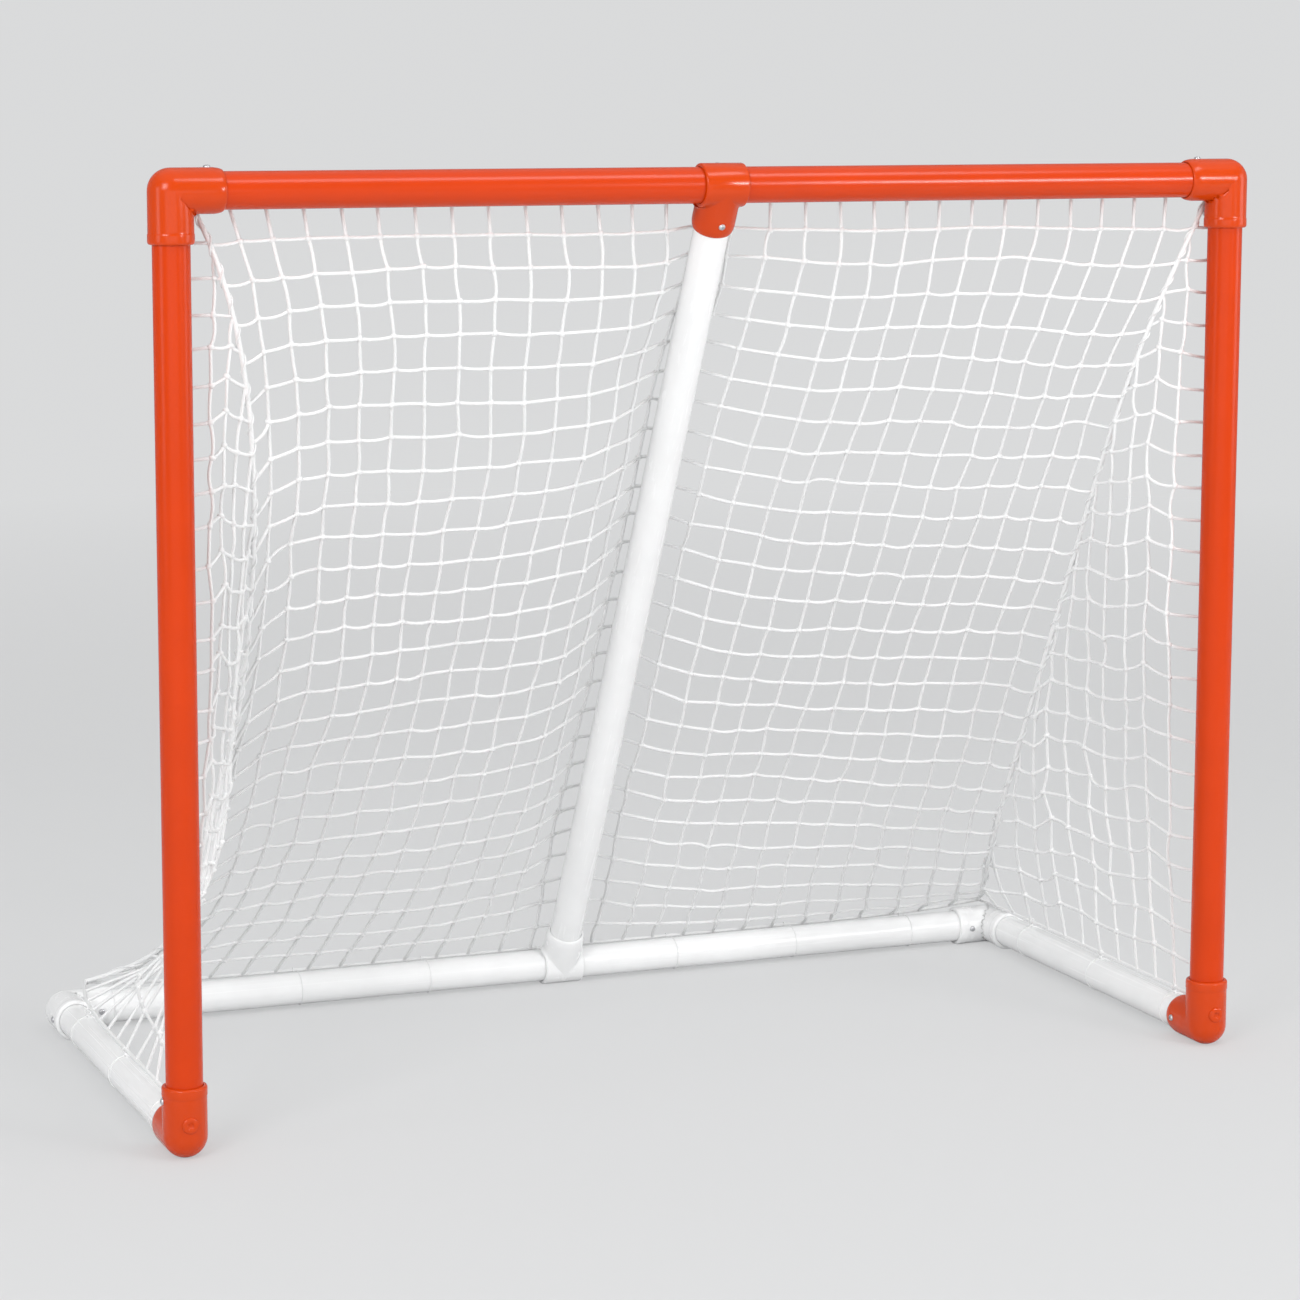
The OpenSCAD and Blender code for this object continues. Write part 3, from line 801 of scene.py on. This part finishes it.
def net_point(w, j, sizes):
    """The knot at share w of the half width and row j down the back net."""
    if j == 0:
        return np.array([w * (HALF_W - HEM_INSET), NET_FRONT, NET_TOP])
    side = -1 if w < 0 else 1
    hang = HANG[side]
    t = j / sizes.rows
    off = abs(w)
    low = NET_LOW + (SIDE_LOW - NET_LOW) * off ** 8
    straight = FIRST_ROW + (NET_LOW - FIRST_ROW) * t
    droop = DROOP * 4 * t * (1 - t) * (0.315 + 1.37 * t)
    dip = hang["dip"] * MM * t ** hang["dip_top"] * (1 - t) ** hang["dip_low"]
    z = straight - droop - dip * off ** hang["dip_out"] + (low - NET_LOW) * t ** 6
    drop = min(1.0, max(1e-9, (FIRST_ROW - z) / (FIRST_ROW - low)))
    wide = HALF_W - SIDE_INSET - DRAW * swell(drop, 5.06, 9)
    x = w * (wide + (seam_half(side, drop, sizes) - wide) * off ** hang["blend"])
    support = TEE_TOP.x + (TEE_REAR.x - TEE_TOP.x) * drop
    clear = min(1.0, max(0.0, (abs(x - support) - 20 * MM) / (HALF_W - 20 * MM)))
    near = (1 - clear) ** 12.47
    z += LIFT * near * 4 * t * (1 - t)
    firm = SAG_TOP + (hang["hold"] - SAG_TOP) * off ** 8
    y = NET_FRONT + DEEP * drop - corner_sag(side, drop, sizes) * off ** hang["sag_out"]
    y -= sizes.sag * swell(drop, firm, SAG_LOW) * (1 - near)
    return np.array([x, y, z])


def clear_of_support(point, radius):
    """Moves a point that is in the centre support to behind it."""
    start, way, back = np.array(TEE_TOP), np.array(SUPPORT_WAY), np.array(-SUPPORT_FRONT)
    reach = SOCKET_REACH + 4 * MM
    along = float(np.dot(point - start, way))
    socket = along < reach or along > (TEE_REAR - TEE_TOP).length - reach
    need = (FITTING_R if socket else TUBE_R) + radius
    offset = point - start - way * along
    behind = float(np.dot(offset, back))
    beside = offset - back * behind
    if np.linalg.norm(beside) >= need:
        return point
    surface = math.sqrt(need * need - float(np.dot(beside, beside)))
    return point + back * max(0.0, surface - behind)


def back_knots(sizes):
    """Every knot of the back net, as rows of points."""
    rng = np.random.default_rng(11)
    rows, columns = sizes.rows, sizes.columns
    drift = rng.normal(size=(rows + 1, columns + 1, 3))
    for _ in range(4):
        beside = [np.roll(drift, step, axis) for axis in (0, 1) for step in (1, -1)]
        drift = (sum(beside) + drift) / 5
    drift *= 2.2 * MM / drift.std()
    loose = rng.normal(size=drift.shape) * 1.1 * MM
    net = np.array([[net_point(2 * i / columns - 1, j, sizes) for i in range(columns + 1)]
                    for j in range(rows + 1)])
    draw_tight(net, sizes.mesh * 1.03)
    for j in range(1, rows):
        for i in range(1, columns):
            free = min(1, j / 2, (rows - j) / 2)
            net[j, i] += (drift[j, i] + loose[j, i]) * free
            net[j, i] = clear_of_support(net[j, i], sizes.cord * 0.7)
    return net


def draw_tight(net, longest, passes=60):
    """Moves the knots together wherever a cord would be longer than it is cut."""
    centre = net.shape[1] // 2
    for _ in range(passes):
        for axis in (0, 1):
            step = np.diff(net, axis=axis)
            span = np.linalg.norm(step, axis=2, keepdims=True)
            limit = np.full_like(span, longest)
            if axis == 0:
                limit[0] *= 1.6
            pull = step * np.maximum(0, 1 - limit / span) * 0.25
            ends = [(0, 0)] * 3
            ends[axis] = (1, 1)
            move = np.diff(np.pad(pull, ends), axis=axis)
            net[1:-1, 1:-1] += move[1:-1, 1:-1]
        for j in range(1, len(net) - 1):
            for i in range(centre - 2, centre + 3):
                net[j, i] = clear_of_support(net[j, i], 2.5 * MM)


def net_strands(net, sizes):
    """The routes of the back net's cords along its rows and down its columns."""
    rng = np.random.default_rng(5)
    rows, columns = sizes.rows, sizes.columns
    routes = [strand(rng, net[j], [sizes.mesh] * columns, SLACK_WAY, 0.7, 0.16)
              for j in range(1, rows)]
    routes += [strand(rng, net[:, i], [sizes.mesh] * rows, 0, LEVEL_STRAY, 0.08)
               for i in range(1, columns)]
    return [[clear_of_support(p, sizes.cord * 0.55) for p in route] for route in routes]


class GOAL_OT_back_net(bpy.types.Operator):
    """Hang the knotted back net"""
    bl_idname = "goal.back_net"
    bl_label = "Back Net"

    def execute(self, context):
        sizes = context.scene.goal_net_sizes
        net = back_knots(sizes)
        bm = cords_mesh(net_strands(net, sizes), sizes.cord)
        stamp(bm, cords_mesh([list(net[0]), list(net[-1])], sizes.hem, sides=8))
        knots_into(bm, net[1:-1, 1:-1].reshape(-1, 3), sizes.cord * 0.95, 3)
        settle(bm, "knotted_back_net", "back_net", net_finish())
        return {"FINISHED"}


class GOAL_OT_side_nets(bpy.types.Operator):
    """Hang the two triangular side nets"""
    bl_idname = "goal.side_nets"
    bl_label = "Side Nets"

    def execute(self, context):
        sizes = context.scene.goal_net_sizes
        for side, name in SIDES:
            routes, places, edge = side_net(side, sizes)
            bm = cords_mesh(routes, sizes.cord)
            stamp(bm, cords_mesh(edge, sizes.hem, sides=8))
            knots_into(bm, places, sizes.cord * 0.95, 7 + side)
            settle(bm, f"knotted_{name}_side_net", f"{name}_side_net", net_finish())
        return {"FINISHED"}


def base_edge(side, share, sizes):
    """The place on a side net's lower edge, from the post to the rear corner."""
    inset = HALF_W - seam_half(side, 1, sizes)
    return np.array([side * (HALF_W - inset * share ** 6), NET_FRONT + DEEP * share, SIDE_LOW])


# How far each strand's knots sit above level in mm, from the front edge to the corner.
SIDE_RISE = (-4, 5, 16, 8, 3, 10, 11, 11, 0, 4, 0)


def side_knots(side, sizes, rng):
    """Where a side net's strands start on the seam, by strand, and its knots, by strand and row."""
    rows, strands = sizes.side_rows, sizes.side_columns
    hang = HANG[side]
    inward = np.array([-side, 0, 0.0])
    tops = {}
    knots = {}
    for k in range(1, strands):
        head = (k / strands) ** 1.18
        rise = SIDE_RISE[min(k, len(SIDE_RISE) - 1)] * MM
        tops[k] = top = seam_point(side, head, sizes)
        foot = base_edge(side, k / strands, sizes)
        lean = rng.normal() * 4 * MM
        fill = (20 + (hang["fill"] - 20) * min(1, k / 6)) * MM
        for r in range(math.ceil(head * rows + 0.15), rows):
            share = (r / rows - head) / (1 - head)
            bulge = math.sin(math.pi * share)
            point = top + (foot - top) * share
            point += inward * fill * math.sin(math.pi * share ** hang["fill_low"])
            point += np.array([0, lean * bulge, rise * min(1, 3 * bulge)])
            point += rng.normal(size=3) * 1.7 * MM
            knots[k, r] = point
        knots[k, rows] = foot
    return tops, knots


def side_net(side, sizes):
    """The cords, knots and edge cords of a side net."""
    rng = np.random.default_rng(21 + side)
    rows, strands = sizes.side_rows, sizes.side_columns
    pitch = DEEP / strands
    height = (FIRST_ROW - SIDE_LOW) / rows
    tops, knots = side_knots(side, sizes, rng)
    front = [np.array([side * HALF_W, NET_FRONT, FIRST_ROW - height * r]) for r in range(rows + 1)]
    routes = []
    for k in range(1, strands):
        chain = [tops[k]] + [knots[k, r] for r in range(rows + 1) if (k, r) in knots]
        routes.append(strand(rng, chain, [height * 1.04] * len(chain), 0, LEVEL_STRAY, 0.2))
    for r in range(1, rows):
        chain = [front[r]] + [knots[k, r] for k in range(1, strands) if (k, r) in knots]
        chain.append(seam_point(side, r / rows, sizes))
        spans = np.linalg.norm(np.diff(chain, axis=0), axis=1)
        lengths = np.minimum(pitch, spans * np.array([1.3] * (len(spans) - 1) + [1.12]))
        routes.append(strand(rng, chain, lengths, SLACK_WAY, 0.8, 0.15))
    places = [p for (k, r), p in knots.items() if r < rows]
    top = np.array([side * HALF_W, NET_FRONT, NET_TOP])
    base = [base_edge(side, share, sizes) for share in np.linspace(0, 1, 30)]
    return routes, places, [[top] + front[1:], base]


# The lacing's core, the cord wound round it, how far out that lies, and its turns.
LACING = 6 * MM
WHIPPING = 2.2 * MM
WHIPPING_R = 3.8 * MM
WHIPS = 30


def lacing_point(side, share, sizes):
    """The place on the cord that winds round a rear corner's seam."""
    before, after = max(0, share - 0.01), min(1, share + 0.01)
    ahead = seam_point(side, after, sizes) - seam_point(side, before, sizes)
    ahead /= np.linalg.norm(ahead)
    a = np.cross(ahead, np.array([0, 1.0, 0]))
    a /= np.linalg.norm(a)
    b = np.cross(ahead, a)
    angle = math.tau * share * WHIPS
    return seam_point(side, share, sizes) + WHIPPING_R * (math.cos(angle) * a + math.sin(angle) * b)


class GOAL_OT_lacing(bpy.types.Operator):
    """Lace the side nets to the back net down each rear corner"""
    bl_idname = "goal.lacing"
    bl_label = "Corner Lacing"

    def execute(self, context):
        sizes = context.scene.goal_net_sizes
        for side, name in SIDES:
            core = [seam_point(side, d, sizes) for d in np.linspace(0, 1, 120)]
            core.insert(0, np.array([side * (HALF_W - 12 * MM), NET_FRONT, NET_TOP]))
            bm = cords_mesh([core], LACING, sides=8)
            helix = [lacing_point(side, d, sizes) for d in np.linspace(0, 1, 24 * WHIPS + 1)]
            stamp(bm, cords_mesh([helix], WHIPPING))
            colour = context.scene.goal_finishes.net_cord
            lacing = finish("twisted_lacing_cord", cord_finish, colour, strands=7.0)
            settle(bm, f"{name}_laced_corner", f"{name}_corner_lacing", lacing)
        return {"FINISHED"}


# ---------------------------------------------------------------- hooks and ties

# The clips and ties hold every other span of the CAD nets' edges, which have 15 spans across, 12
# down and 6 from the front to the back. The middle span of the 15 has none.
GAP = 2 * HALF_W / 15
BAR_PLACES = [(k + 0.5) * GAP - HALF_W for k in (1, 3, 5, 9, 11, 13)]
POST_PLACES = [NET_TOP + (r + 0.5) / 12 * (SIDE_LOW - NET_TOP) for r in (1, 3, 5, 7, 9, 11)]
BASE_PLACES = [NET_FRONT + (k + 0.5) / 6 * DEEP for k in (0, 2, 4)]
EDGE_UP = Vector((0, math.cos(BAR_RISE), math.sin(BAR_RISE)))
REAR_UP = Vector((0, math.cos(REAR_RISE), math.sin(REAR_RISE)))


def hook_shape():
    """A clip: a flange on the tube, a short neck and an eye round the hem, which runs along Z."""
    eye, thick = 4.6 * MM, 1.35 * MM
    bm = bmesh.new()
    ring = bmesh.ops.create_circle(bm, segments=10, radius=thick,
                                   matrix=Matrix.Rotation(math.pi / 2, 4, "X"))["verts"]
    bmesh.ops.scale(bm, vec=(1, 1, 1.5), verts=ring)
    bmesh.ops.translate(bm, vec=(eye, 0, 0), verts=ring)
    edges = list({e for v in ring for e in v.link_edges})
    bmesh.ops.spin(bm, geom=ring + edges, cent=(0, 0, 0), axis=(0, 0, 1), angle=math.tau,
                   steps=20, use_merge=True)
    bmesh.ops.remove_doubles(bm, verts=bm.verts, dist=1e-7)
    bmesh.ops.translate(bm, vec=(STANDOFF, 0, 0), verts=bm.verts)
    stem = bmesh.new()
    base = TUBE_R - 0.7 * MM
    flange = [(0, 0), (5, 0), (5.2, 1), (4.8, 1.7), (3, 2.1)]
    neck = [(2.2, 2.8), (2, 4.2), (0, 4.3)]
    lathe(stem, in_mm(flange + neck), 20)
    seat(stem, frame_of(Vector((base, 0, 0)), RIGHT, UP))
    stamp(bm, stem)
    bmesh.ops.recalc_face_normals(bm, faces=bm.faces)
    return bm


class GOAL_OT_hooks(bpy.types.Operator):
    """Clip the net's front edges to the crossbar and the posts"""
    bl_idname = "goal.hooks"
    bl_label = "Net Clips"

    def execute(self, context):
        rails = {"crossbar": [(Vector((x, POST_Y, BAR_Z)), RIGHT, EDGE_UP) for x in BAR_PLACES]}
        for side, name in SIDES:
            rails[f"{name}_post"] = [
                (Vector((side * HALF_W, POST_Y, z)), UP, BACK) for z in POST_PLACES]
        material = white_plastic("white_clip_plastic", (90, 90, 90))
        for rail, places in rails.items():
            bm = stamp(bmesh.new(), hook_shape(), [frame_of(*place) for place in places])
            settle(bm, f"{rail}_clips", f"{rail}_hooks", material, math.radians(40))
        return {"FINISHED"}


def tie_routes(centre, along, out):
    """A thin cord round a bar, and round the net's edge beside it."""
    put = frame_of(centre, along, out)
    wrap = TUBE_R + 0.55 * MM

    def loop(away, radius, angle, rise):
        return put @ Vector((away + radius * math.cos(angle), radius * math.sin(angle), rise))

    coil = [loop(0, wrap, math.tau * a, (a - 0.5) * 2.2 * MM) for a in np.linspace(0, 1, 49)]
    eye = [loop(STANDOFF - 0.2 * MM, 3.7 * MM, math.pi - a, (a - math.pi) * 0.6 * MM)
           for a in np.linspace(0, math.tau, 19)]
    return [np.array(coil), np.array(eye)], np.array(put @ Vector((wrap + 1.6 * MM, 0, 0)))


class GOAL_OT_ties(bpy.types.Operator):
    """Tie the net's lower edges to the rear bar and the base tubes"""
    bl_idname = "goal.ties"
    bl_label = "Net Ties"

    def execute(self, context):
        rails = {"rear_bar": [(Vector((x, REAR_Y, BASE_Z)), RIGHT, REAR_UP) for x in BAR_PLACES]}
        for side, name in SIDES:
            rails[f"{name}_base"] = [
                (Vector((side * HALF_W, y, BASE_Z)), BACK, UP) for y in BASE_PLACES]
        material = white_plastic("white_tie_thread", (400, 400, 400))
        for rail, places in rails.items():
            tied = [tie_routes(*place) for place in places]
            bm = cords_mesh([route for routes, _ in tied for route in routes], 1.3 * MM)
            knots_into(bm, [knot for _, knot in tied], 2.2 * MM, 5)
            settle(bm, f"{rail}_cord_ties", f"{rail}_ties", material)
        return {"FINISHED"}


# ---------------------------------------------------------------- stage

CAMERA_PLACE = (-1.6753, -4.2003, 1.2225)
# In degrees: the camera's turn to the right, its tilt down and its roll.
CAMERA_TURN = (22.011, 8.114, -0.146)


class GOAL_OT_stage(bpy.types.Operator):
    """Set up the floor, the soft lights and the camera"""
    bl_idname = "goal.stage"
    bl_label = "Studio Stage"

    def execute(self, context):
        scene = context.scene
        look = scene.goal_stage_look
        self.camera(scene)
        self.floor(look)
        self.lights(look)
        self.world(scene, look)
        scene.view_settings.view_transform = "Standard"
        return {"FINISHED"}

    def camera(self, scene):
        data = bpy.data.cameras.new("goal_camera")
        data.sensor_fit = "HORIZONTAL"
        data.sensor_width = 36
        data.lens = 101.48
        data.shift_y = -0.05
        data.clip_end = 100
        camera = new_object("goal_camera", data)
        yaw, pitch, roll = (math.radians(angle) for angle in CAMERA_TURN)
        level = Vector((math.sin(yaw), math.cos(yaw), 0))
        forward = level * math.cos(pitch) + DOWN * math.sin(pitch)
        beside = forward.cross(UP).normalized()
        below = forward.cross(beside).normalized()
        right = math.cos(roll) * beside + math.sin(roll) * below
        turned = Matrix((right, right.cross(forward), -forward)).transposed().to_4x4()
        camera.matrix_world = Matrix.Translation(CAMERA_PLACE) @ turned
        scene.camera = camera

    def floor(self, look):
        """A floor that curves up into a backdrop on every side."""
        bm = bmesh.new()
        reach, curve = 7, 3
        profile = [(0, 0), (reach, 0)]
        profile += [(reach + curve * math.sin(a), curve - curve * math.cos(a))
                    for a in np.linspace(0.1, math.pi / 2, 12)]
        profile += [(reach + curve, 12)]
        lathe(bm, profile, 64)
        n = Nodes("studio_floor")
        grain = n.noise(n.place(), 3, 4, 0.6)
        tint = n.mix(grain, shade(look.ground, 0.998), shade(look.ground, 1.002))
        n.set(Base_Color=tint, Roughness=0.9, Specular_IOR_Level=0.1)
        seen = n.add("ShaderNodeLightPath")
        glow = n.add("ShaderNodeEmission", {"Color": tint, "Strength": 1.0})
        away = n.add("ShaderNodeVectorMath", {0: n.place()}, operation="LENGTH").outputs["Value"]
        share = n.math("MULTIPLY", seen.outputs["Is Camera Ray"], n.span(away, 0.62, 1, 2.2, 6))
        blend = n.add("ShaderNodeMixShader", {0: share, 1: n.shader.outputs[0], 2: glow.outputs[0]})
        n.tree.links.new(blend.outputs[0], n.tree.nodes["Material Output"].inputs["Surface"])
        piece_from(bm, "studio_floor", n.material)

    def lights(self, look):
        for name, place, target, size, share in (
            ("key_softbox", (-3.2, -3.1, 2.8), (0, 0, 0.5), (1.8, 1.8), 1),
            ("front_panel", (-1.4, -4.8, 0.85), (0, 0, 0.5), (5.0, 1.2), 0.24),
            ("left_softbox", (-3.6, -0.9, 1.2), (-0.6, -0.3, 0.6), (0.9, 1.6), 0.12),
            ("right_softbox", (3.6, -1.5, 1.25), (0.6, -0.3, 0.6), (1.4, 1.8), 0.2),
            ("bar_softbox", (2.0, -3.3, 1.62), (0.4, -0.3, 1.08), (0.9, 0.5), 0.45),
            ("top_softbox", (1.0, -1.8, 3.8), (0.1, 0, 0.6), (2.0, 0.8), 0.3),
        ):
            self.softbox(name, place, target, size, look.key * share)

    def softbox(self, name, place, target, size, power):
        data = bpy.data.lights.new(name, "AREA")
        data.shape = "RECTANGLE"
        data.size, data.size_y = size
        data.energy = power
        lamp = new_object(name, data)
        lamp.location = place
        lamp.visible_camera = False
        lamp.rotation_euler = (Vector(target) - Vector(place)).to_track_quat("-Z", "Y").to_euler()

    def world(self, scene, look):
        world = bpy.data.worlds.new("studio_world")
        world.use_nodes = True
        tree = world.node_tree
        background = tree.nodes["Background"]
        background.inputs["Color"].default_value = (1, 1, 1, 1)
        background.inputs["Strength"].default_value = look.world
        scene.world = world


class GOAL_PT_panel(bpy.types.Panel):
    """The goal's pieces, in the order in which they are built"""
    bl_label = "Hockey Goal"
    bl_idname = "GOAL_PT_panel"
    bl_space_type = "VIEW_3D"
    bl_region_type = "UI"
    bl_category = "Goal"

    def draw(self, context):
        for operator in OPERATORS:
            self.layout.operator(operator.bl_idname)


OPERATORS = (
    GOAL_OT_stage, GOAL_OT_tubes, GOAL_OT_elbows, GOAL_OT_tees, GOAL_OT_screws, GOAL_OT_back_net,
    GOAL_OT_side_nets, GOAL_OT_lacing, GOAL_OT_hooks, GOAL_OT_ties,
)
GROUPS = {
    "goal_finishes": GoalFinishes, "goal_fitting_sizes": GoalFittingSizes,
    "goal_net_sizes": GoalNetSizes, "goal_stage_look": GoalStageLook,
}


def register():
    for group in GROUPS.values():
        bpy.utils.register_class(group)
    for operator in (*OPERATORS, GOAL_PT_panel):
        bpy.utils.register_class(operator)
    for name, group in GROUPS.items():
        setattr(bpy.types.Scene, name, PointerProperty(type=group))


def unregister():
    for name in GROUPS:
        delattr(bpy.types.Scene, name)
    for operator in (GOAL_PT_panel, *reversed(OPERATORS)):
        bpy.utils.unregister_class(operator)
    for group in GROUPS.values():
        bpy.utils.unregister_class(group)


def main():
    register()
    for operator in OPERATORS:
        family, name = operator.bl_idname.split(".")
        getattr(getattr(bpy.ops, family), name)()


if __name__ == "__main__":
    main()
